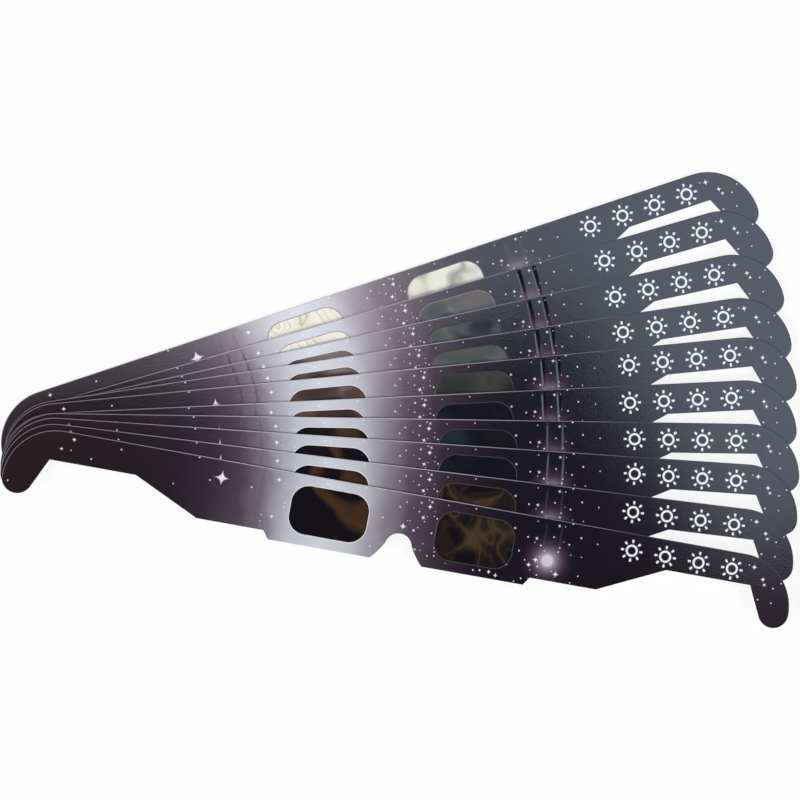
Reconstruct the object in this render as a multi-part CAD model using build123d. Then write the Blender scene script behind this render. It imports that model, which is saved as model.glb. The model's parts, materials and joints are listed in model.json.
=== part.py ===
from build123d import *
from math import acos, atan2, cos, hypot, radians, sin
import os

os.makedirs("parts", exist_ok=True)

# Ten flat pairs of card glasses, fanned in a pile with the printed side up.
# Millimetres. A pair's own zero is the middle of its top edge: +X right, +Y up, +Z out of the print.

# Card and film thickness
front_card_thick = 0.4
back_card_thick = 0.5
film_thick = 0.1
pile_air = 0.05

# Upper outline, from the middle of the pair
straight_reach = 177.4
hook_back_radius = 27.4
hook_tip_radius = 7.9
hook_corner_reach = 182.5

# Lower outline
arm_height = 15.5
taper_outer_reach = 138.2
taper_inner_reach = 104.0
shoulder_height = 31.7
step_outer_reach = 69.4
step_inner_reach = 66.4
frame_height = 35.9

# Nose notch
notch_half_width = 13.5
notch_top_depth = 21.1
notch_top_radius = 6.9
notch_flare_rise = 0.5
notch_turn_deg = 76.0

# Lens openings
lens_reach = 37.85
lens_depth = 17.8
lens_width = 40.2
lens_height = 25.0
lens_corner_radius = 9.0
film_margin = 3.0
pocket_clearance = 0.1

# Fold lines
fold_reach = 74.0
second_fold_reach = 81.9
fold_gap = 0.1
back_card_set_in = 0.3
score_width = 0.6
score_depth = 0.12

# Where the middle of each top edge lies, as shares of a pair's length, and its turn; bottom pair first
across_shares = [-0.038, -0.023, -0.013, -0.0055, 0.001, 0.002, 0.0085, 0.010, 0.0105, 0.012]
up_shares = [0.1495, 0.1175, 0.0905, 0.0655, 0.0395, 0.0065, -0.021, -0.0495, -0.0815, -0.114]
turn_degs = [18.5, 16.2, 12.5, 8.6, 5.5, 2.7, -0.9, -3.9, -7.1, -10.3]

pair_length = 2 * (straight_reach + hook_back_radius)
pair_thick = back_card_thick + front_card_thick
pile_pitch = pair_thick + pile_air


def face_from(*lines):
    """One flat face inside a closed run of lines."""
    return make_face([edge for line in lines for edge in line.edges()])


def both_sides(half):
    """A half outline joined to its mirror image."""
    return half + mirror(half, about=Plane.YZ)


def frame_face(end_reach):
    """The middle of a pair, as far out as end_reach, with the nose notch but no lens openings."""
    turn = radians(notch_turn_deg)
    notch_centre_depth = notch_top_depth + notch_top_radius
    notch_top = (0, -notch_top_depth)
    notch_mid = (notch_top_radius * sin(turn / 2), notch_top_radius * cos(turn / 2) - notch_centre_depth)
    notch_side = (notch_top_radius * sin(turn), notch_top_radius * cos(turn) - notch_centre_depth)
    notch_foot = (notch_half_width, -frame_height)
    half = face_from(
        Polyline(
            notch_foot,
            (step_inner_reach, -frame_height),
            (step_outer_reach, -shoulder_height),
            (end_reach, -shoulder_height),
            (end_reach, 0),
            (0, 0),
            notch_top,
        ),
        ThreePointArc(notch_top, notch_mid, notch_side),
        SagittaArc(notch_side, notch_foot, -notch_flare_rise),
    )
    return both_sides(half)


def arm_face():
    """The right arm, from the fold line out to the ear hook."""
    hook_reach = straight_reach + hook_back_radius
    tip = (hook_reach - hook_tip_radius, -hook_back_radius)
    corner = (hook_corner_reach, -arm_height)
    # The inner edge of the hook runs straight from its corner and just touches the round tip
    across, down = tip[0] - corner[0], tip[1] - corner[1]
    touch_angle = atan2(-down, -across) + acos(hook_tip_radius / hypot(across, down))
    low_angle = (touch_angle - radians(360)) / 2

    def on_tip(angle):
        return (tip[0] + hook_tip_radius * cos(angle), tip[1] + hook_tip_radius * sin(angle))

    def on_back(angle):
        return (
            straight_reach + hook_back_radius * cos(angle),
            hook_back_radius * sin(angle) - hook_back_radius,
        )

    start = fold_reach + fold_gap / 2
    return face_from(
        Polyline(
            on_tip(touch_angle),
            corner,
            (taper_outer_reach, -arm_height),
            (taper_inner_reach, -shoulder_height),
            (start, -shoulder_height),
            (start, 0),
            (straight_reach, 0),
        ),
        ThreePointArc((straight_reach, 0), on_back(radians(45)), (hook_reach, -hook_back_radius)),
        ThreePointArc((hook_reach, -hook_back_radius), on_tip(low_angle), on_tip(touch_angle)),
    )


def at_lenses(shape):
    """The same shape at both lens openings."""
    return [Pos(side * lens_reach, -lens_depth) * shape for side in (-1, 1)]


def plate(face, low, thick):
    """A flat sheet of card or film with its back at height low."""
    return Pos(0, 0, low) * extrude(face, amount=thick)


def front_card():
    """The printed card between the two folds."""
    face = frame_face(fold_reach - fold_gap / 2)
    for opening in at_lenses(RectangleRounded(lens_width, lens_height, lens_corner_radius)):
        face -= opening
    return plate(face, back_card_thick, front_card_thick)


def back_card():
    """The plain card behind the films, with a shallow pocket pressed round each one."""
    face = frame_face(fold_reach - back_card_set_in)
    for opening in at_lenses(RectangleRounded(lens_width, lens_height, lens_corner_radius)):
        face -= opening
    card = plate(face, 0, back_card_thick)
    grow = 2 * (film_margin + pocket_clearance)
    pocket = RectangleRounded(lens_width + grow, lens_height + grow, lens_corner_radius + film_margin)
    for hollow in at_lenses(pocket):
        card -= plate(hollow, back_card_thick - film_thick, film_thick)
    return card


def film():
    """A sheet of solar film, a little larger than its opening."""
    grow = 2 * film_margin
    sheet = RectangleRounded(lens_width + grow, lens_height + grow, lens_corner_radius + film_margin)
    return plate(sheet, back_card_thick - film_thick, film_thick)


def right_arm():
    """An arm of the printed card, scored across its back for the second fold."""
    arm = plate(arm_face(), back_card_thick, front_card_thick)
    score = Rectangle(score_width, 2 * shoulder_height)
    return arm - plate(Pos(second_fold_reach, -shoulder_height / 2) * score, back_card_thick, score_depth)


lens_film = film()
arm = right_arm()
pieces = {
    "front_card": front_card(),
    "back_card": back_card(),
    "left_film": Pos(-lens_reach, -lens_depth) * lens_film,
    "right_film": Pos(lens_reach, -lens_depth) * lens_film,
    "left_arm": mirror(arm, about=Plane.YZ),
    "right_arm": arm,
}

nodes = {}
for place, (across_share, up_share, turn_deg) in enumerate(zip(across_shares, up_shares, turn_degs)):
    middle = (across_share * pair_length, up_share * pair_length, place * pile_pitch)
    for name, piece in pieces.items():
        nodes[f"pair_{place + 1:02d}_{name}"] = Pos(*middle) * Rot(0, 0, turn_deg) * piece

# The whole fan is moved so that zero is under the middle of it
boxes = [shape.bounding_box() for shape in nodes.values()]
middle_x = (min(box.min.X for box in boxes) + max(box.max.X for box in boxes)) / 2
middle_y = (min(box.min.Y for box in boxes) + max(box.max.Y for box in boxes)) / 2
for name, shape in nodes.items():
    export_step(Pos(-middle_x, -middle_y, 0) * shape, f"parts/{name}.step")
print(f"the fan's zero moves by {middle_x:.3f}, {middle_y:.3f} mm")
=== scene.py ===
# %% [markdown]
# # A fan of card eclipse glasses
# Ten flat pairs of die-cut card glasses lie in a fan, printed side up. Every solid comes from the
# packed CAD model. This lesson gives each pair its printed skin, its creases, its cut edges and its
# wrinkled solar film, and then lights the fan on a pale table and looks straight down on it.

import json
import math

import bmesh
import bpy
from mathutils import Matrix, Vector, noise


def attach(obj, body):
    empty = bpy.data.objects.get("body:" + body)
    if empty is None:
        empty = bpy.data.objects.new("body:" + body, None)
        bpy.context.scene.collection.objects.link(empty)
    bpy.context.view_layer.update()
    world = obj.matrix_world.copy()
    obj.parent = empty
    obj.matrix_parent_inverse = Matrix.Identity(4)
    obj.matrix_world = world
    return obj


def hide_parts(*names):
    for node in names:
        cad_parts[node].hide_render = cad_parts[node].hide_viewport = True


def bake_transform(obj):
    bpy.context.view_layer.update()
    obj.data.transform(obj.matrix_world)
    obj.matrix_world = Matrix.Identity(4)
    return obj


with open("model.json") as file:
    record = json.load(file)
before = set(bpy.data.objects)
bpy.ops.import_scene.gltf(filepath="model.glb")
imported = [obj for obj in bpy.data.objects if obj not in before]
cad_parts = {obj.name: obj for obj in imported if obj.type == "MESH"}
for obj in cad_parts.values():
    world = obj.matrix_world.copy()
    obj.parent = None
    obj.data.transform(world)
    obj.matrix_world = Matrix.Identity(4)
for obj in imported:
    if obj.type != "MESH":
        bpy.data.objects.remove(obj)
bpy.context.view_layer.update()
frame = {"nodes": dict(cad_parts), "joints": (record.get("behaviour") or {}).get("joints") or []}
nodes = frame["nodes"]
mm = 0.001

# %% [markdown]
# ## Where each pair lies
# The packed record holds a fold hinge for every arm. The right-hand hinge lies on the inner crease,
# 74 mm from the middle of the pair, and points up the card. So the hinge alone tells how far each
# pair is turned and where its zero, the middle of its top edge, has gone. The values below are a
# flat pair's own measures in millimetres, the same ones that its solids were made with.

# %% Find the pairs
CARD_REACH = 205  # the middle of a pair to the end of a hook, rounded up
FOLD_REACH, OUTER_CREASE = 74.0, 81.9
LENS_REACH, LENS_DEPTH = 37.85, 17.8
SHOULDER = 31.7
CARD_BACK, CARD_FACE = 0.5, 0.9
hinges = {joint["name"]: joint for joint in frame["joints"]}


def place_of(pair):
    """The matrix that carries a pair from its own zero to its place in the fan."""
    hinge = hinges[f"{pair}_right_fold"]
    up = Vector(hinge["axis"]).normalized()
    along = up.cross(Vector((0, 0, 1)))
    turn = Matrix((along, up, (0, 0, 1))).transposed().to_4x4()
    crease_middle = Vector((FOLD_REACH, -SHOULDER / 2, CARD_BACK)) * mm
    return Matrix.Translation(Vector(hinge["pos_m"]) - turn @ crease_middle) @ turn


pairs = [f"pair_{number:02d}" for number in range(1, 11)]
places = {pair: place_of(pair) for pair in pairs}
for pair in pairs:
    place = places[pair]
    print(pair, "turned", round(math.degrees(math.atan2(place[1][0], place[0][0])), 1), "degrees")

# %% [markdown]
# ## Camera
# The fan is seen from almost straight above. A long lens keeps the cards' edges straight and
# parallel. The camera stands a few degrees to the left, so the right-hand hooks are a little
# further off and a little smaller.

# %% Camera
CAMERA_REACH, SENSOR = 1.5, 36
CAMERA_LEAN = math.radians(3.6)
VIEW_WIDTH = 0.4106
AIM = Vector((-1.5, -0.2, 4.5)) * mm
camera = bpy.data.objects.new("camera", bpy.data.cameras.new("camera"))
bpy.context.collection.objects.link(camera)
toward = Vector((-math.sin(CAMERA_LEAN), 0, math.cos(CAMERA_LEAN)))
camera.location = AIM + toward * CAMERA_REACH
camera.rotation_euler = (0, -CAMERA_LEAN, 0)
camera.data.sensor_width = SENSOR
camera.data.lens = SENSOR * CAMERA_REACH / VIEW_WIDTH
camera.data.clip_start, camera.data.clip_end = 0.05, 50
bpy.context.scene.camera = camera
print("lens", round(camera.data.lens, 1), "mm")

# %% [markdown]
# ## Shader maths as plain Python
# A finish is a material whose pattern is worked out from numbers. Wiring Math nodes by hand is
# slow and hard to read, so one small class wraps a socket and lets + - * / build the nodes, and
# one method adds every other kind of node.

# %% A number on its way
class Flow:
    """A number or colour on its way through a finish's nodes."""

    def __init__(self, finish, socket):
        self.finish, self.socket = finish, socket

    def sibling(self, output):
        """Another output of the node that this one comes from."""
        return Flow(self.finish, self.socket.node.outputs[output])

    def math(self, operation, *others, first=None):
        values = [self, *others] if first is None else [first, self, *others]
        return self.finish.node("ShaderNodeMath", {"operation": operation}, dict(enumerate(values)))

    def __add__(self, other):
        return self.math("ADD", other)

    def __sub__(self, other):
        return self.math("SUBTRACT", other)

    def __mul__(self, other):
        return self.math("MULTIPLY", other)

    def __truediv__(self, other):
        return self.math("DIVIDE", other)

    def __radd__(self, other):
        return self.math("ADD", first=other)

    def __rsub__(self, other):
        return self.math("SUBTRACT", first=other)

    def __rmul__(self, other):
        return self.math("MULTIPLY", first=other)

    def __lt__(self, other):
        return self.math("LESS_THAN", other)

    def __gt__(self, other):
        return self.math("GREATER_THAN", other)

    def __abs__(self):
        return self.math("ABSOLUTE")

    def __neg__(self):
        return self.math("MULTIPLY", -1)

    def __pow__(self, other):
        return self.math("POWER", other)

    def step(self, low, high):
        """0 below low, 1 above high and a soft rise between; low may be above high."""
        ends = {0: self, 1: low, 2: high, 3: 0, 4: 1}
        settings = {"interpolation_type": "SMOOTHSTEP"}
        if low < high:
            return self.finish.node("ShaderNodeMapRange", settings, ends)
        ends.update({1: high, 2: low, 3: 1, 4: 0})
        return self.finish.node("ShaderNodeMapRange", settings, ends)


print("a Flow takes + - * / ** < > abs() and", [part for part in vars(Flow) if part[0] != "_"])

# %% [markdown]
# The second class holds a material while it is made. Its node method adds any node from its type,
# its settings and the values or links of its sockets, and hands back the node's output as a Flow.
# Colours are picked from a picture, so a small function turns them into the linear numbers that a
# shader works with.

# %% A material under construction
class Finish:
    """A material and the nodes that feed its shader."""

    def __init__(self, name):
        self.material = bpy.data.materials.new(name)
        self.material.use_nodes = True
        self.tree = self.material.node_tree
        self.shader = self.tree.nodes["Principled BSDF"]

    def node(self, kind, settings=None, sockets=None, output=0):
        made = self.tree.nodes.new(kind)
        for name, value in (settings or {}).items():
            if name == "stops":
                self.stops(made.color_ramp, value)
            else:
                setattr(made, name, value)
        for socket, value in (sockets or {}).items():
            self.feed(made.inputs[socket], value)
        return Flow(self, made.outputs[output])

    def feed(self, socket, value):
        if isinstance(value, Flow):
            self.tree.links.new(value.socket, socket)
        else:
            socket.default_value = value

    def stops(self, ramp, stops):
        ramp.elements[0].position, ramp.elements[1].position = stops[0][0], stops[-1][0]
        for place, _ in stops[1:-1]:
            ramp.elements.new(place)
        for element, (_, colour) in zip(ramp.elements, stops):
            element.color = colour if hasattr(colour, "__len__") else (colour, colour, colour, 1)

    def mix(self, share, first, second):
        settings = {"data_type": "RGBA"}
        return self.node("ShaderNodeMix", settings, {0: share, 6: first, 7: second}, 2)

    def noise(self, vector, scale, detail=2.0, roughness=0.5):
        sockets = {"Vector": vector, "Scale": scale, "Detail": detail, "Roughness": roughness}
        return self.node("ShaderNodeTexNoise", {}, sockets)

    def set(self, **values):
        for name, value in values.items():
            self.feed(self.shader.inputs[name.replace("_", " ")], value)


def tone(red, green, blue):
    """A colour as a picture shows it, 0 to 255, made linear for the shader."""
    parts = []
    for part in (red, green, blue):
        parts.append(((part / 255 + 0.055) / 1.055) ** 2.4 if part > 10 else part / 255 / 12.92)
    return tuple(parts) + (1,)


print("pale lavender is", [round(c, 3) for c in tone(208, 210, 218)])

# %% [markdown]
# ## The print
# The print is a night sky: a pale glow round the left lens that fades through mauve to
# purple-black, maroon-black at the hooks. It follows the card, so it reads a UV map that holds each
# point's place on the flat pair in millimetres. A ramp along the card gives the main colours. Low,
# soft noise moves the ramp about, so that it looks like cloud and not like stripes.

# %% Sky colours along the card
SKY = [
    (-205, (38, 24, 28)), (-150, (32, 22, 28)), (-120, (36, 27, 36)), (-100, (50, 39, 51)),
    (-85, (76, 64, 79)), (-70, (130, 121, 134)), (-56, (196, 198, 207)), (-40, (212, 215, 223)),
    (-25, (198, 199, 206)), (-10, (140, 133, 144)), (5, (86, 73, 87)), (20, (54, 41, 54)),
    (35, (38, 27, 41)), (50, (23, 17, 31)), (70, (16, 12, 27)), (95, (20, 12, 24)),
    (125, (22, 12, 23)), (150, (30, 21, 31)), (205, (40, 28, 36)),
]
STAR_CROWD = [
    (-205, 0.15), (-178, 0.4), (-166, 0.1), (-112, 0.1), (-75, 0.1), (-50, 0.08), (-20, 0.15),
    (-4, 0.35), (6, 0.95), (17, 1.0), (27, 0.45), (42, 0.2), (60, 0.28), (76, 0.65), (92, 0.3),
    (106, 0.06), (172, 0.06), (182, 0.35), (205, 0.25),
]


def share_along(x):
    """A place along the card, 0 at the left hook's end and 1 at the right hook's."""
    return (x + CARD_REACH) / (2 * CARD_REACH)


def along(stops):
    """Ramp stops given in millimetres along the card."""
    return [
        (share_along(reach), tone(*value) if hasattr(value, "__len__") else value)
        for reach, value in stops
    ]


print(len(SKY), "sky colours,", len(STAR_CROWD), "star densities")

# %% [markdown]
# Stars are found by a Voronoi texture: each cell holds one point, and the distance to it draws a
# dot. A Minkowski distance with an exponent under one draws a four-pointed sparkle instead. A
# second, random value in each cell decides whether its star is lit, and how brightly.

# %% Stars
POINTED = 0.5


def star_layer(sky, spot, crowd, cell, reach, pointed):
    """One scatter of stars, cell millimetres apart and reach millimetres in size."""
    distance = "MINKOWSKI" if pointed else "EUCLIDEAN"
    settings = {"voronoi_dimensions": "2D", "feature": "F1", "distance": distance}
    sockets = {"Vector": spot, "Scale": 1 / cell}
    if pointed:
        sockets["Exponent"] = POINTED
    scatter = sky.node("ShaderNodeTexVoronoi", settings, sockets)
    chance = sky.node("ShaderNodeSeparateColor", {}, {0: scatter.sibling("Color")})
    second = chance.sibling(1)
    size = reach / cell * (0.55 + second * 0.45)
    glint = (scatter / size).step(1.0, 0.55)
    return glint * (chance < crowd) * (0.6 + second * 0.4)


def sparkle(x, y, at, reach):
    """A single four-pointed star."""
    across, up = abs(x - at[0]), abs(y - at[1])
    spread = across ** POINTED + up ** POINTED
    return (spread / reach ** POINTED).step(1.0, 0.8)


def glow_of(x, y, at, reach, power):
    """1 at a point, falling softly to 0 at reach; a higher power gathers it at the middle."""
    across, up = x - at[0], y - at[1]
    far = (across * across + up * up).math("SQRT")
    return (1 - far / reach).math("MAXIMUM", 0.0) ** power


print("a pointed star's waist is", round(math.sqrt(2) * 0.5 ** (1 / POINTED), 2), "of its reach")

# %% [markdown]
# The right arm carries a plain row of four line-drawn suns, which is the kind of motif any such
# card could have. The remainder of the length over one pitch lets one sun be drawn four times, and
# angle and distance draw its ring and rays.

# %% Row of suns
SUN_START, SUN_PITCH, SUN_COUNT, SUN_HEIGHT = 110.0, 17.6, 4, -8.8
SUN_RING, RAY_FOOT, RAY_TIP, RAYS = 2.6, 4.0, 5.65, 8


def sun_row(x, y):
    """White line-drawn suns along the right arm."""
    run = x - SUN_START
    inside = (run > 0.0) * (run < SUN_PITCH * SUN_COUNT)
    across = run.math("MODULO", SUN_PITCH) - SUN_PITCH / 2
    up = y - SUN_HEIGHT
    far = (across * across + up * up).math("SQRT")
    ring = abs(far - SUN_RING).step(0.68, 0.42)
    ray = (up.math("ARCTAN2", across) * RAYS).math("COSINE").step(0.5, 0.75)
    inner_end = far.step(RAY_FOOT - 0.1, RAY_FOOT + 0.15)
    rays = ray * inner_end * far.step(RAY_TIP + 0.1, RAY_TIP - 0.15)
    return ring.math("MAXIMUM", rays) * inside


print("suns are", 2 * RAY_TIP, "mm across")

# %% [markdown]
# Each arm was folded once and opened flat again, and each fold left two creases. On the right they
# are hollows with a pale lip, dark where the bent varnish no longer mirrors a lamp; that dark is
# painted shade and the pale lip a painted highlight. On the left they are faint spikes of painted
# shade. The print finish carries this painted shade and highlight, and the skins get their grooves
# further down. The tone comes with a dent in the bump, steep enough to turn the mirrored lamps
# away.

# %% Creases in the print
DENT_WIDTH, LIP_WIDTH, DENT_DEPTH = 1.9, 0.45, 0.35


def right_crease(x, depth, reach, fade):
    """The painted shade right of a fold, the painted highlight on the fold's left edge and the dent
    between them.
    """
    run = x - reach
    width = ((depth - 1.0) * 0.9).math("MINIMUM", 2.5 - depth * 0.08).math("MAXIMUM", 0.0)
    strength = depth.step(1.0, 2.2) * (1 - depth.step(5.0, 13.0) * fade)
    hollow_shade = run.step(-0.15, 0.5) * (run - width).step(0.7, -0.6) * strength
    lip_highlight = abs(run + 0.45).step(0.62, 0.3) * depth.step(1.5, 3.5)
    dent = (1 - run / DENT_WIDTH).math("MINIMUM", 1 + run / LIP_WIDTH)
    return hollow_shade, lip_highlight, dent.math("MAXIMUM", 0.0) * strength


def left_crease(x, depth, reach):
    """Painted shade in a crease: a dark wedge that widens from the top edge downwards."""
    width = ((depth - 1.2) * 0.34).math("MINIMUM", 2.1).math("MAXIMUM", 0.05)
    return (1 - abs(x + reach) / width).math("MAXIMUM", 0.0).step(0.0, 0.55)


print("creases lie at", FOLD_REACH, "and", OUTER_CREASE, "mm; dents are", DENT_DEPTH, "mm deep")

# %% [markdown]
# Now the whole print comes together in one finish: the ramp swayed by cloud and broken up by fine
# grain, the creases, a soft light by the right-hand crease, three scatters of stars, a few large
# stars listed one by one and the row of suns. The varnish is smooth enough to mirror a lamp softly.

# %% The printed finish
CLOUD_SWAY = 16
LIGHT_AT, LIGHT_REACH, HALO_REACH, LIGHT_SHARE = (76.7, -21.5), 16.0, 13.0, 0.7
# Colours of the painted shade in the creases and of the painted highlight on the lips of the
# right-hand creases
FOLD_SHADE_PURPLE, HOLLOW_SHADE_BLACK, LIP_HIGHLIGHT_GREY = tone(66, 52, 70), tone(10, 6, 12), tone(128, 138, 156)
# A pale colour for painted sheen, then the print's own glow and star colours
PAINTED_SHEEN_GREY, LIGHT_MAUVE, STAR_WHITE = tone(200, 192, 208), tone(140, 96, 130), tone(240, 238, 246)
SUN_WHITE = tone(240, 240, 244)
BIG_STARS = [
    ((-94.9, -9.2), 5.2), ((-66.0, -5.0), 2.1), ((-66.5, -24.0), 1.8), ((0.5, -17.2), 2.6),
    ((12.5, -5.0), 2.0), ((70.7, -22.1), 2.4), ((67.6, -25.2), 2.0), ((82.1, -27.7), 2.5),
    ((51.7, -33.6), 1.8), ((48.0, -32.4), 1.7), ((183.0, -6.0), 2.2), ((188.5, -11.5), 2.0),
    ((-172.0, -3.4), 1.8), ((-177.5, -9.0), 1.5), ((20.0, -14.0), 1.8),
]


def printed_finish(name, hollow_shade_share, lip_highlight_share, spike_shade_share, dent_share, fade=0.2, sheen_share=0.0):
    """The night sky as printed on satin card, with the creases' painted shade and highlight as
    strong as the shares say, and a painted sheen towards the left end when one is asked for.
    """
    sky = Finish(name)
    spot = sky.node("ShaderNodeUVMap", {"uv_map": "print"})
    x = sky.node("ShaderNodeSeparateXYZ", {}, {0: spot})
    y = x.sibling(1)
    cloud = sky.noise(spot, 0.035, 4.0, 0.55)
    fine = sky.noise(spot, 1.6, 2.0, 0.6)
    share = share_along(x + (cloud - 0.5) * CLOUD_SWAY)
    colour = sky.node("ShaderNodeValToRGB", {"stops": along(SKY)}, {0: share})
    crowd = sky.node("ShaderNodeValToRGB", {"stops": along(STAR_CROWD)}, {0: share_along(x)})
    grain = 0.87 + fine * 0.26
    grain = sky.node("ShaderNodeCombineColor", {}, {0: grain, 1: grain, 2: grain})
    settings = {"data_type": "RGBA", "blend_type": "MULTIPLY"}
    colour = sky.node("ShaderNodeMix", settings, {0: 1.0, 6: colour, 7: grain}, 2)

    depth = -y
    hollow_shade, lip_highlight, dent = right_crease(x, depth, FOLD_REACH, fade)
    outer_hollow_shade, outer_lip_highlight, outer_dent = right_crease(x, depth, OUTER_CREASE, fade)
    hollow_shade = hollow_shade.math("MAXIMUM", outer_hollow_shade) * hollow_shade_share
    dent = dent.math("MAXIMUM", outer_dent) * (DENT_DEPTH * dent_share)
    spike_shade = left_crease(x, depth, FOLD_REACH).math("MAXIMUM", left_crease(x, depth, OUTER_CREASE))
    # Painted sheen: the print pales towards the left end, standing in for a mirrored softbox
    if sheen_share:
        colour = sky.mix(x.step(-60.0, -150.0) * sheen_share, colour, PAINTED_SHEEN_GREY)
    # Painted shade in the creases and a painted highlight on the lips of the right-hand creases
    colour = sky.mix(spike_shade * spike_shade_share, colour, FOLD_SHADE_PURPLE)
    colour = sky.mix(hollow_shade, colour, HOLLOW_SHADE_BLACK)
    colour = sky.mix(lip_highlight.math("MAXIMUM", outer_lip_highlight) * lip_highlight_share, colour, LIP_HIGHLIGHT_GREY)

    sockets = {"Vector": spot, "Angle": 0.4}
    tilted = sky.node("ShaderNodeVectorRotate", {"rotation_type": "Z_AXIS"}, sockets)
    colour = sky.mix(glow_of(x, y, LIGHT_AT, LIGHT_REACH, 2) * 0.75, colour, LIGHT_MAUVE)
    light = star_layer(sky, spot, crowd * 0.36, 3.6, 0.55, False)
    light = light.math("MAXIMUM", star_layer(sky, tilted, crowd * 0.42, 6.2, 0.62, False))
    light = light.math("MAXIMUM", star_layer(sky, tilted, crowd * 0.2, 6.2, 1.9, True))
    for at, reach in BIG_STARS:
        light = light.math("MAXIMUM", sparkle(x, y, at, reach))
    halo = (glow_of(x, y, LIGHT_AT, HALO_REACH, 4) * 1.1).math("MINIMUM", LIGHT_SHARE)
    core = glow_of(x, y, LIGHT_AT, LIGHT_REACH, 1).step(0.71, 0.86) * LIGHT_SHARE
    light = light.math("MAXIMUM", halo).math("MAXIMUM", core)
    colour = sky.mix(light, colour, STAR_WHITE)
    colour = sky.mix(sun_row(x, y), colour, SUN_WHITE)

    # Satin varnish over slightly fibrous card
    height = sky.noise(spot, 1.1, 3.0) * 0.035 - dent
    bump = sky.node("ShaderNodeBump", {}, {"Strength": 1.0, "Distance": mm, "Height": height})
    sky.set(Base_Color=colour, Normal=bump, Roughness=0.11)
    sky.shader.inputs["Specular IOR Level"].default_value = 0.5
    return sky.material


print("the print has", len(BIG_STARS), "stars set by hand and a light at", LIGHT_AT)

# %% [markdown]
# The painted shade and highlight of the creases are not equally strong along the pile. They are
# strongest in the lower middle of the pile and hardly show on the lowest pair and the top two, so
# each stretch of the pile has its own print. The same stretches set how far the grooves are pressed
# into the skins further down.

# %% Prints for the pile
prints = {
    # The lowest pair also gets a little painted sheen at its left end
    "lowest": printed_finish("printed_sky_lowest_pair", 0.12, 0.06, 0.25, 0.0, sheen_share=0.04),
    "low": printed_finish("printed_sky_low_pairs", 0.92, 0.4, 0.42, 1.0),
    "middle": printed_finish("printed_sky_middle_pairs", 0.95, 0.62, 0.32, 1.0, fade=0.65),
    "high": printed_finish("printed_sky_high_pairs", 0.5, 0.36, 0.18, 0.7, fade=0.5),
    "top": printed_finish("printed_sky_top_pairs", 0.12, 0.06, 0.15, 0.0),
}
stretches = ["lowest"] + ["low"] * 2 + ["middle"] * 3 + ["high"] * 2 + ["top"] * 2
print_of = [prints[stretch] for stretch in stretches]
press_of = [0.2] + [1.0] * 5 + [0.45] * 2 + [0.1] * 2
print("each print has about", len(prints["middle"].node_tree.nodes), "nodes")

# %% [markdown]
# ## Bare card
# Where the card is cut, its white core shows. It is drawn as a real rim of faces round the upper
# edge and the lens openings. The rim darkens to the right, as the real edge does in the shade. The
# openings have a rim of their own, pale on the left and dark on the right, and an even grey on the
# two lowest pairs. The backs of the front and the arms are plain uncoated card with a faint mottle.

# %% Card finishes
FIBRE_GREY = tone(120, 116, 126)


def card_finish(name, stops, mottle):
    """Bare card whose tone changes along the pair."""
    card = Finish(name)
    spot = card.node("ShaderNodeUVMap", {"uv_map": "print"})
    x = card.node("ShaderNodeSeparateXYZ", {}, {0: spot})
    colour = card.node("ShaderNodeValToRGB", {"stops": along(stops)}, {0: share_along(x)})
    fibre = card.noise(spot, 0.8, 4.0, 0.7)
    card.set(Base_Color=card.mix(fibre * mottle, colour, FIBRE_GREY), Roughness=0.8)
    return card.material


EDGE_STOPS = [
    (-205, (112, 104, 114)), (-120, (146, 138, 150)), (-60, (205, 203, 212)), (0, (190, 184, 196)),
    (60, (134, 128, 138)), (100, (104, 102, 108)), (122, (58, 55, 62)), (205, (40, 36, 44)),
]
RIM_STOPS = [
    (-205, (238, 238, 241)), (-10, (240, 240, 244)), (20, (40, 36, 41)), (205, (40, 36, 41)),
]
SHADE_STOPS = [(-205, (128, 123, 126)), (205, (150, 146, 146))]
edge_card = card_finish("cut_edge_card", EDGE_STOPS, 0.25)
lens_rim_card = card_finish("lens_rim_card", RIM_STOPS, 0.2)
grey_rim_card = card_finish("lens_rim_card_in_shade", SHADE_STOPS, 0.2)


def plain_card_finish():
    """The uncoated back of the card."""
    card = Finish("plain_card_back")
    spot = card.node("ShaderNodeTexCoord", {}, {}, 3)
    fibre = card.noise(spot, 900.0, 4.0, 0.7)
    mottle = card.noise(spot, 60.0, 2.0)
    shade = fibre * 0.35 + mottle * 0.25
    card.set(Base_Color=card.mix(shade, tone(240, 240, 240), tone(206, 205, 203)), Roughness=0.85)
    bump = card.node("ShaderNodeBump", {}, {"Strength": 0.15, "Distance": 0.0001, "Height": fibre})
    card.set(Normal=bump)
    return card.material


plain_card = plain_card_finish()
print("cards:", [card.name for card in (edge_card, lens_rim_card, grey_rim_card, plain_card)])

# %% [markdown]
# ## Printed skins
# A printed piece has exactly the outline of its CAD solid, so it starts as a copy of that solid
# with its doubled points merged. Its top is inset by a hair to give the cut edge a rim. It is made
# at a pair's own zero, once for each strength of crease, and then laid in its places in the fan.

# %% Skin helpers
PATTERN_PAIR = "pair_10"
RIM = 0.38
UNDER_FACE = 0.85  # a height just under the printed face
HALF_LENS = (21, 13.4)  # half an opening with its rim
HOOK_CENTRE, HOOK_BACK = 177.4, 27.4
FACING = 0.9  # a normal this far along an axis counts as facing that way
NEAR_FOLD = 0.2
PRINT, EDGE, LENS_RIM, PLAIN = range(4)  # the order of a skin's finishes


def flat_copy(node):
    """A merged copy of a CAD solid, moved back to the pair's own zero."""
    skin = bmesh.new()
    skin.from_mesh(nodes[f"{PATTERN_PAIR}_{node}"].data)
    bmesh.ops.remove_doubles(skin, verts=skin.verts, dist=1e-6)
    bmesh.ops.transform(skin, matrix=places[PATTERN_PAIR].inverted(), verts=skin.verts)
    return skin


def on_top(face):
    """True on the printed face and its rim."""
    return face.normal.z > FACING and face.calc_center_median().z > UNDER_FACE * mm


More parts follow.
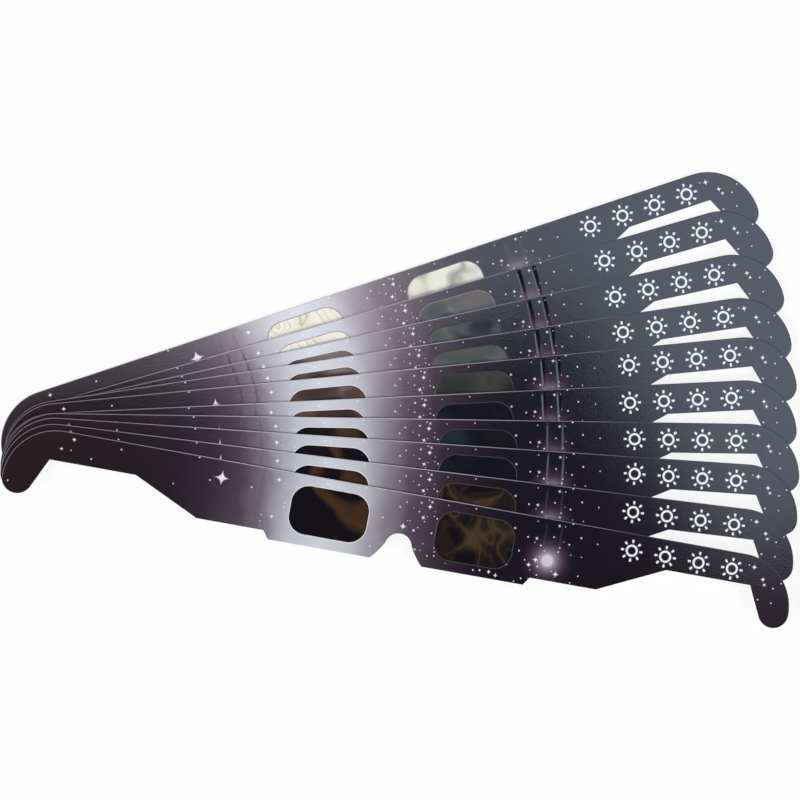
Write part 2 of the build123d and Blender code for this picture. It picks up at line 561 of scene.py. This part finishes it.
def in_lens_rim(spot):
    """True within a millimetre of either lens opening."""
    across, up = abs(spot.x / mm) - LENS_REACH, spot.y / mm + LENS_DEPTH
    return abs(across) < HALF_LENS[0] and abs(up) < HALF_LENS[1]


def is_upper_edge(spot):
    """True on the straight top edge and round the back of either ear hook."""
    beyond, depth = abs(spot.x) / mm - HOOK_CENTRE, -spot.y / mm
    if beyond < 0:
        return depth < RIM
    return math.hypot(beyond, HOOK_BACK - depth) > HOOK_BACK - RIM


def map_print(skin):
    """A UV map that holds each point's place on the flat pair, in millimetres."""
    layer = skin.loops.layers.uv.new("print")
    for face in skin.faces:
        for loop in face.loops:
            loop[layer].uv = (loop.vert.co.x / mm, loop.vert.co.y / mm)


print("a printed rim is", RIM, "mm wide; finishes of a skin:", PLAIN + 1)

# %% [markdown]
# A crease is pressed into the printed face as a shallow channel. It starts just under the top edge,
# deepens over its first few millimetres, and slopes up to the flat card on either side. The same
# sum gives its depth to the skin and to the ribbon that lies under it.

# %% Grooves
GROOVE_START, GROOVE_POINT = 1.2, 3.6


def cut_across(skin, spot, direction):
    """New edges where a plane crosses the skin."""
    geometry = skin.verts[:] + skin.edges[:] + skin.faces[:]
    middle = Vector(spot) * mm
    bmesh.ops.bisect_plane(skin, geom=geometry, plane_co=middle, plane_no=direction, dist=1e-7)


def share_pressed(off, down, left_width, right_width):
    """0 to 1: how much of a groove's depth a point has, off its line and down from the top edge."""
    fall = 1 + off / left_width if off < 0 else 1 - off / right_width
    return max(0, fall) * min(1, max(0, (down - GROOVE_START) / GROOVE_POINT))


def groove(skin, reach, left_width, right_width, depth):
    """Presses a channel across the printed face at x = reach, and counts the points it moves."""
    left_cuts = [-left_width * share for share in (1, 0.5)]
    right_cuts = [right_width * share for share in (0.35, 0.7, 1)]
    for cut in left_cuts + [0] + right_cuts:
        cut_across(skin, (reach + cut, 0, 0), (1, 0, 0))
    pressed = 0
    for vert in skin.verts:
        off, down = vert.co.x / mm - reach, -vert.co.y / mm
        share = share_pressed(off, down, left_width, right_width)
        if share > 0 and vert.co.z > UNDER_FACE * mm:
            vert.co.z -= depth * mm * share
            pressed += 1
    return pressed


print("grooves start", GROOVE_START, "mm down and are full depth", GROOVE_POINT, "mm further on")

# %% [markdown]
# Each skin wears four finishes: the print on top, the bare cut edge, the rim of the lens openings
# and the plain back. Which face wears which is told from its normal and from where its middle is.
# The end faces at a fold wear the print, so that no pale line shows in the crease.

# %% Printed skins
def printed_skin(node, grooves):
    """A printed piece with its rim and its grooves, still at the pair's own zero."""
    skin = flat_copy(node)
    top = [face for face in skin.faces if on_top(face)]
    evenly = {"use_even_offset": True, "use_boundary": True}
    rim = bmesh.ops.inset_region(skin, faces=top, thickness=RIM * mm, **evenly)
    for face in skin.faces:
        side = PLAIN if face.normal.z < -FACING else EDGE
        face.material_index = PRINT if on_top(face) else side
    for face in rim["faces"]:
        spot = face.calc_center_median()
        if in_lens_rim(spot):
            face.material_index = LENS_RIM
        elif is_upper_edge(spot):
            face.material_index = EDGE
    for face in skin.faces:
        off = abs(face.calc_center_median().x) / mm - FOLD_REACH
        if abs(off) < NEAR_FOLD and abs(face.normal.x) > FACING:
            face.material_index = PRINT
    for depth in (GROOVE_START, GROOVE_START + GROOVE_POINT):
        cut_across(skin, (0, -depth, 0), (0, 1, 0))
    pressed = [groove(skin, *line) for line in grooves]
    map_print(skin)
    print(node, "has", len(skin.faces), "faces; points pressed into its folds:", pressed)
    return skin


# %% [markdown]
# The front and the two arms are made once for each press. On the right a fold has a narrow lip on
# its left and a wide slope on its right; on the left it is a shallow, even dip.

# %% Make the three printed pieces once for each press
# For each side, the width left of the fold, the width right of it and the depth
INNER_FOLD = {1: (0.45, 1.5, 0.25), -1: (1.2, 1.2, 0.06)}
OUTER_FOLD = {1: (0.45, 1.5, 0.22), -1: (1.2, 1.2, 0.05)}


def fold_line(side, reach, fold, press):
    """A groove for one side: its place, its two widths and its pressed depth."""
    left_width, right_width, depth = fold[side]
    return side * reach, left_width, right_width, depth * press


def three_skins(press):
    """The front and both arms with their creases, pressed to a share of the full depth."""
    inner = {side: fold_line(side, FOLD_REACH, INNER_FOLD, press) for side in (-1, 1)}
    outer = {side: fold_line(side, OUTER_CREASE, OUTER_FOLD, press) for side in (-1, 1)}
    return {
        "front_card": printed_skin("front_card", [inner[-1], inner[1]]),
        "left_arm": printed_skin("left_arm", [outer[-1], inner[-1]]),
        "right_arm": printed_skin("right_arm", [inner[1], outer[1]]),
    }


skins = {press: three_skins(press) for press in sorted(set(press_of))}
print("skins for the presses", list(skins))

# %% [markdown]
# A folded card is one sheet, but a body in a mechanism is rigid. A narrow ribbon of print therefore
# lies just under the print at each inner fold, let into the front and the arm, so that no gap shows
# at the corner. It is fixed where it is laid and follows neither the front nor the arm.

# %% Fold ribbons
RIBBON_HALF, RIBBON_END, RIBBON_UNDER, RIBBON_THICK = 0.3, 0.1, 0.03, 0.04


def fold_ribbon(side, press):
    """A ribbon just under the bottom of the inner groove, at the pair's own zero."""
    left_width, right_width, depth = INNER_FOLD[side]
    ribbon = bmesh.new()
    bmesh.ops.create_grid(ribbon, x_segments=6, y_segments=30, size=1)
    for vert in ribbon.verts:
        off = vert.co.x * RIBBON_HALF
        down = RIBBON_END + (1 - vert.co.y) / 2 * (SHOULDER - 2 * RIBBON_END)
        dip = depth * press * share_pressed(off, down, left_width, right_width)
        vert.co = Vector((side * FOLD_REACH + off, -down, CARD_FACE - dip - RIBBON_UNDER)) * mm
    bmesh.ops.recalc_face_normals(ribbon, faces=ribbon.faces[:])
    if ribbon.faces[:][0].normal.z < 0:
        bmesh.ops.reverse_faces(ribbon, faces=ribbon.faces[:])
    bmesh.ops.solidify(ribbon, geom=ribbon.faces[:], thickness=RIBBON_THICK * mm)
    map_print(ribbon)
    heights = [vert.co.z / mm for vert in ribbon.verts]
    print("ribbon heights in mm:", round(min(heights), 3), "to", round(max(heights), 3))
    return ribbon


ribbons = {press: {side: fold_ribbon(side, press) for side in (-1, 1)} for press in skins}

# %% [markdown]
# Every pair gets its own copies, so that each can ride on its own body. A printed piece stands in
# for its CAD solid, and a ribbon is extra. The back card is right as the CAD made it and only needs
# its finish.

# %% Lay them in the fan
BEND_REACH = 0.2


def lay(skin, pair, name, finishes, body, node=None):
    """A copy of a skin in its pair's place. It rides on a body, or, given two bodies, stays fixed
    where it is laid.
    """
    mesh = bpy.data.meshes.new(f"{pair}_{name}")
    placed = skin.copy()
    bmesh.ops.transform(placed, matrix=places[pair], verts=placed.verts)
    placed.to_mesh(mesh)
    placed.free()
    for finish in finishes:
        mesh.materials.append(finish)
    piece = bpy.data.objects.new(f"{pair}_{name}", mesh)
    bpy.context.collection.objects.link(piece)
    if isinstance(body, str):
        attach(piece, body)
    else:
        places[pair] @ body[2]
        places[pair] @ body[3]
        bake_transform(piece)
    if node:
        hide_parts(node)


for number, pair in enumerate(pairs):
    rim = grey_rim_card if number < 2 else lens_rim_card
    card_finishes = [print_of[number], edge_card, rim, plain_card]
    for name, skin in skins[press_of[number]].items():
        body = f"{pair}_frame" if name == "front_card" else f"{pair}_{name}"
        lay(skin, pair, f"printed_{name}", card_finishes, body, f"{pair}_{name}")
    for side, ribbon in ribbons[press_of[number]].items():
        arm = "left_arm" if side < 0 else "right_arm"
        inner = Vector((side * (FOLD_REACH - BEND_REACH), -SHOULDER / 2, CARD_BACK)) * mm
        outer = Vector((side * (FOLD_REACH + BEND_REACH), -SHOULDER / 2, CARD_BACK)) * mm
        bend = (f"{pair}_frame", f"{pair}_{arm}", inner, outer)
        lay(ribbon, pair, f"fold_ribbon_{arm}", [print_of[number]], bend)
    back = nodes[f"{pair}_back_card"]
    back.data.materials.clear()
    back.data.materials.append(plain_card)
print("laid", 3 * len(pairs), "printed pieces and", 2 * len(pairs), "ribbons")

# %% [markdown]
# ## Solar film
# The film is thin, glossy and never quite flat. It is glued all round and slack in the middle. Its
# tone depends on what it mirrors: nearly black with amber folds at the front of the fan, blue-black
# and green-grey further up, and cream where it faces the lamp. The cards here lie flat and can't
# show that with one colour of film, so each of those tones is painted into a finish of its own as a
# painted reflection.

# %% Film finishes
BLACK, BROWN, AMBER = (17, 13, 19), (70, 47, 29), (78, 58, 38)
PINCH_GRAIN, PINCH_TURN = 0.11, (0.62, 0.79)


def film_finish(name, stops, swirl, grain=0.04, lean=(0, 0), pinch=0):
    """Glossy film whose folded tones come from swirled noise, with a lean across the sheet.

    A sheet pulled tight at its corners gathers into a crooked star, whose amber is a painted
    reflection. Its reach is pinch millimetres.
    """
    film = Finish(name)
    spot = film.node("ShaderNodeUVMap", {"uv_map": "print"})
    place = film.node("ShaderNodeUVMap", {"uv_map": "sheet"})
    across = film.node("ShaderNodeSeparateXYZ", {}, {0: place})
    up = across.sibling(1)
    swirls = {0: film.noise(spot, grain, 1.0).sibling(1), 1: (swirl, swirl, 0), 2: spot}
    moved = film.node("ShaderNodeVectorMath", {"operation": "MULTIPLY_ADD"}, swirls)
    folds = film.noise(moved, grain, 1.5, 0.45) + across * lean[0] + up * lean[1]
    tones = [(at, tone(*value)) for at, value in stops]
    colour = film.node("ShaderNodeValToRGB", {"stops": tones}, {0: folds})
    if pinch:
        bend = film.noise(spot, PINCH_GRAIN, 2.0) - 0.5
        first = abs((across + bend * 12) * PINCH_TURN[0] - up * PINCH_TURN[1]) ** POINTED
        second = abs(across * PINCH_TURN[0] + (up + bend * 8) * PINCH_TURN[1]) ** POINTED
        star = ((first + second) / pinch ** POINTED).step(1.2, 0.55)
        streaks = film.noise(moved, grain * 3, 2.0).step(0.35, 0.6)
        # The amber along the pinched star is a painted reflection
        colour = film.mix(star * (0.45 + streaks * 0.55), colour, tone(*AMBER))
    film.set(Base_Color=colour, Roughness=0.09)
    film.shader.inputs["Specular IOR Level"].default_value = 0.35
    return film.material


print("a pinched fold is", [round(part, 3) for part in tone(*AMBER)[:3]])

# %% [markdown]
# The tones of each film are a ramp over the height of its folds. Two or three close stops of
# another tone draw a thin line, like the edge of a crumple.

# %% Film tones
CREAM, PALE_GREY = (240, 238, 222), (200, 196, 178)
AMBER_PATCH = [(0.3, BLACK), (0.46, BLACK), (0.54, BROWN), (0.62, (62, 41, 27)), (0.68, BLACK)]
AMBER_FOLDS = [
    (0.3, BLACK), (0.41, (22, 19, 21)), (0.46, (34, 28, 26)), (0.49, (72, 55, 38)),
    (0.51, (42, 33, 27)), (0.56, (22, 19, 21)), (0.6, (38, 31, 26)), (0.64, BLACK),
]
BROWN_FOLDS = [
    (0.3, (58, 42, 41)), (0.44, (76, 57, 54)), (0.52, (98, 74, 69)), (0.62, (80, 62, 57)),
]
BLUE_FOLDS = [(0.3, (30, 42, 50)), (0.42, (22, 27, 35)), (0.55, (16, 16, 24)), (0.7, (25, 23, 27))]
GREEN_FOLDS = [
    (0.3, (98, 88, 84)), (0.42, (76, 86, 86)), (0.5, (98, 99, 94)), (0.58, (68, 73, 72)),
    (0.7, (46, 46, 50)),
]
OLIVE_FOLDS = [
    (0.3, (44, 48, 46)), (0.45, (54, 56, 53)), (0.55, (66, 68, 64)), (0.65, (40, 38, 40)),
]
CREAM_CRUMPLES = [
    (0.28, CREAM), (0.36, (234, 230, 212)), (0.372, PALE_GREY), (0.385, CREAM),
    (0.45, (240, 228, 212)), (0.463, (208, 202, 184)), (0.475, CREAM), (0.54, (226, 228, 220)),
    (0.552, PALE_GREY), (0.565, CREAM), (0.64, (230, 224, 204)), (0.655, (186, 180, 156)),
    (0.68, CREAM),
]
CREAM_FOLDS = [
    (0.3, (240, 240, 224)), (0.42, (232, 232, 212)), (0.48, (158, 161, 146)),
    (0.52, (212, 213, 194)), (0.58, (240, 240, 225)), (0.64, (172, 175, 158)),
    (0.69, (236, 234, 214)),
]
# Each film finish paints the reflection that its film shows, so these tones are painted reflections
amber_film = film_finish("film_amber_patch", AMBER_PATCH, 26, 0.035, (0.006, 0.005))
folded_film = film_finish("film_amber_folds", AMBER_FOLDS, 40, pinch=17)
brown_film = film_finish("film_brown", BROWN_FOLDS, 20)
blue_film = film_finish("film_blue_black", BLUE_FOLDS, 18, 0.035, (0.006, 0.002))
green_film = film_finish("film_green_grey", GREEN_FOLDS, 24, 0.03, (0.003, 0.0))
olive_film = film_finish("film_olive", OLIVE_FOLDS, 20, 0.035, (0.003, 0.0))
cream_film = film_finish("film_cream", CREAM_CRUMPLES, 46, 0.05)
white_film = film_finish("film_cream_soft", CREAM_FOLDS, 26)
left_films = [cream_film] * 2 + [brown_film] * 4 + [amber_film] * 4
right_films = [white_film] + [green_film] * 3 + [olive_film] + [blue_film] * 3 + [folded_film] * 2
print("films:", [finish.name for finish in left_films + right_films])

# %% [markdown]
# The sheet is a fine grid with its corners cut off, a little smaller than the film in the CAD, so
# that it stays inside its pocket. It is flat where it is glued. In the opening, one noise gives it
# slow waves and another, folded over at zero, gives it sharper creases.

# %% Film sheets
FILM_WIDTH, FILM_HEIGHT, FILM_THICK = 43.0, 27.8, 0.03
FILM_LEVEL = 0.45
CORNER_REACH = 22.2  # the middle of a sheet to its cut corners
SLACK_REACH, SLACK_SLOPE, SLACK_DEPTH = (19.6, 12.0), (5, 4), 0.1
SHEET_SHIFT = (130, 57)  # keeps the folds of one sheet from showing again in the next


def slack_at(across, up):
    """0 where the film is glued, rising to 1 in the middle of the opening."""
    share = (SLACK_REACH[0] - abs(across)) / SLACK_SLOPE[0]
    share_up = (SLACK_REACH[1] - abs(up)) / SLACK_SLOPE[1]
    return min(1, max(0, share)) * min(1, max(0, share_up))


def film_sheet(side, seed):
    """A slack sheet of film across one opening."""
    sheet = bmesh.new()
    stretch = Matrix.Diagonal((FILM_WIDTH / 2 * mm, FILM_HEIGHT / 2 * mm, 1, 1))
    bmesh.ops.create_grid(sheet, x_segments=44, y_segments=28, size=1, matrix=stretch)
    for sign_x in (-1, 1):
        for sign_y in (-1, 1):
            outward = Vector((sign_x, sign_y, 0)).normalized()
            geometry = sheet.verts[:] + sheet.edges[:] + sheet.faces[:]
            plane = {"plane_co": outward * CORNER_REACH * mm, "plane_no": outward}
            bmesh.ops.bisect_plane(sheet, geom=geometry, clear_outer=True, **plane)
    for vert in sheet.verts:
        across, up = vert.co.x / mm, vert.co.y / mm
        wave = noise.noise(Vector((across * 0.09, up * 0.12, seed * 7.3)))
        fold = 0.5 - abs(noise.noise(Vector((across * 0.05 + up * 0.1, up * 0.05, seed * 3.1 + 9))))
        lift = SLACK_DEPTH * slack_at(across, up) * (wave + fold - 0.35)
        vert.co.z = (FILM_LEVEL + lift) * mm
    bmesh.ops.solidify(sheet, geom=sheet.faces[:], thickness=FILM_THICK * mm)
    bmesh.ops.recalc_face_normals(sheet, faces=sheet.faces[:])
    middle = Vector((side * LENS_REACH, -LENS_DEPTH, 0))
    bmesh.ops.translate(sheet, vec=middle * mm, verts=sheet.verts)
    layer = sheet.loops.layers.uv.new("print")
    local = sheet.loops.layers.uv.new("sheet")
    for face in sheet.faces:
        face.smooth = True
        for loop in face.loops:
            across, up = loop.vert.co.x / mm, loop.vert.co.y / mm
            loop[layer].uv = (across + SHEET_SHIFT[0] * seed, up + SHEET_SHIFT[1] * seed)
            loop[local].uv = (across - middle.x, up - middle.y)
    return sheet


for number, pair in enumerate(pairs):
    for name, side, finishes in (("left_film", -1, left_films), ("right_film", 1, right_films)):
        sheet = film_sheet(side, number + (0.5 if side > 0 else 0))
        node, finish = f"{pair}_{name}", finishes[number]
        lay(sheet, pair, f"{name}_sheet", [finish], f"{pair}_frame", node)
        sheet.free()
print("each film sheet is", FILM_WIDTH, "by", FILM_HEIGHT, "mm")

# %% [markdown]
# ## Table
# The fan lies on a pale table inside a pale round backdrop. In the picture the table is all but
# white, so the camera sees it as plain white with only a share of its shade, and so do the mirrors.
# To the light that bounces between the cards and the table, it is an ordinary pale board.

# %% Table finish
WHITE_SHARE = 0.85


def table_finish():
    """Pale table top that reads as white to the camera and keeps its shadows."""
    table = Finish("table_white")
    speck = table.noise(table.node("ShaderNodeTexCoord", {}, {}, 3), 40.0, 3.0)
    pale = table.mix(speck * 0.06, tone(250, 250, 250), tone(236, 236, 236))
    table.set(Base_Color=pale, Roughness=0.9)
    table.shader.inputs["Specular IOR Level"].default_value = 0.1
    # White is for rays from the camera and from mirrors alone
    path = table.node("ShaderNodeLightPath")
    seen = path.math("MAXIMUM", path.sibling("Is Glossy Ray"))
    seen = seen.math("MAXIMUM", path.sibling("Is Transmission Ray"))
    white = table.node("ShaderNodeEmission", {}, {"Color": (1, 1, 1, 1), "Strength": 1.0})
    shaded = Flow(table, table.shader.outputs["BSDF"])
    surface = table.node("ShaderNodeMixShader", {}, {0: seen * WHITE_SHARE, 1: shaded, 2: white})
    table.feed(table.tree.nodes["Material Output"].inputs["Surface"], surface)
    return table.material


table_white = table_finish()
print("the table is", table_white.name)

# %% [markdown]
# The table top is a disc that lies a hair under the cards, and the backdrop is a wall round its
# edge. The wall stands far out, so that a camera that backs away from lifted pairs stays inside.

# %% Table top and backdrop
BACKDROP_RADIUS, BACKDROP_HEIGHT, TABLE_DROP = 14, 7.3, 0.0002


def table_ring(filled):
    """The rim of the table as a circle of edges, filled or open."""
    ring = bmesh.new()
    bmesh.ops.create_circle(ring, cap_ends=filled, segments=96, radius=BACKDROP_RADIUS)
    bmesh.ops.translate(ring, vec=(0, 0, -TABLE_DROP), verts=ring.verts)
    return ring


def stage_piece(name, mesh, finish):
    """A piece of the set, which isn't part of the object."""
    data = bpy.data.meshes.new(name)
    mesh.to_mesh(data)
    mesh.free()
    data.materials.append(finish)
    piece = bpy.data.objects.new(name, data)
    bpy.context.collection.objects.link(piece)


stage_piece("table_top", table_ring(True), table_white)
wall_mesh = table_ring(False)
wall = bmesh.ops.extrude_edge_only(wall_mesh, edges=wall_mesh.edges[:])
wall_top = [part for part in wall["geom"] if isinstance(part, bmesh.types.BMVert)]
bmesh.ops.translate(wall_mesh, vec=(0, 0, BACKDROP_HEIGHT), verts=wall_top)
stage_piece("round_backdrop", wall_mesh, table_white)
print("the backdrop is", 2 * BACKDROP_RADIUS, "m across")

# %% [markdown]
# ## Lamps and world
# Two large soft lamps at the sides give an even light that the cards don't mirror. The satin print
# owes its slate and lavender sheen to four softboxes. Each is hung where the camera sees it
# mirrored in a chosen stretch of the cards: two over the glow and the left arms, two over the upper
# right and the right arms. A mirrored lamp looks as far behind the card as it hangs above it, so
# its place and size follow from the camera's height by similar triangles.

# %% Lamps
LAMP_HEIGHT = 0.9
SLANT = -56.8


def soft_lamp(name, place, size, power):
    """A square lamp that faces the middle of the fan."""
    data = bpy.data.lights.new(name, "AREA")
    data.shape, data.size, data.energy = "SQUARE", size, power
    lamp = bpy.data.objects.new(name, data)
    lamp.location = place
    lamp.rotation_euler = Vector(place).to_track_quat("Z", "Y").to_euler()
    bpy.context.collection.objects.link(lamp)


def mirrored_lamp(name, spot, sides, turn, glow, colour):
    """A softbox hung where the camera sees it mirrored in the cards round spot (millimetres)."""
    eye, middle = camera.location, Vector(spot + (0,)) * mm
    grow = 1 + LAMP_HEIGHT / eye.z
    data = bpy.data.lights.new(name, "AREA")
    data.shape, data.size, data.size_y = "RECTANGLE", sides[0] * grow * mm, sides[1] * grow * mm
    data.energy, data.color = glow * math.pi * data.size * data.size_y, colour
    lamp = bpy.data.objects.new(name, data)
    outward = (middle - Vector((eye.x, eye.y, 0))) * (grow - 1)
    lamp.location = middle + outward + Vector((0, 0, LAMP_HEIGHT))
    lamp.rotation_euler = (0, 0, math.radians(turn))
    lamp.visible_camera = False
    bpy.context.collection.objects.link(lamp)
    print(name, "hangs at", [round(v, 3) for v in lamp.location])


soft_lamp("left_lamp", (-1.9, -0.9, 1.7), 1.2, 44)
soft_lamp("right_lamp", (1.8, -1.2, 1.7), 1.2, 41)
mirrored_lamp("upper_left_softbox", (-62, 74), (138, 108), -8, 4.7, (1.0, 0.92, 1.0))
mirrored_lamp("far_left_softbox", (-172, 46), (92, 76), 14, 0.4, (1.0, 0.94, 1.0))
mirrored_lamp("upper_right_softbox", (21, 99), (128, 60), SLANT, 2.6, (0.72, 0.8, 1.0))
mirrored_lamp("right_softbox", (182, 59), (240, 170), SLANT, 3.1, (0.64, 0.78, 1.0))

# %% [markdown]
# A faint white world fills the shadows a little. The picture's colours are shown as they are, with
# no film curve over them.

# %% World
world = bpy.data.worlds.new("studio")
bpy.context.scene.world = world
world.use_nodes = True
background = world.node_tree.nodes["Background"]
background.inputs["Color"].default_value = (1, 1, 1, 1)
background.inputs["Strength"].default_value = 0.1
bpy.context.scene.view_settings.view_transform = "Standard"
print("the world's strength is", round(background.inputs["Strength"].default_value, 2))

# %% [markdown]
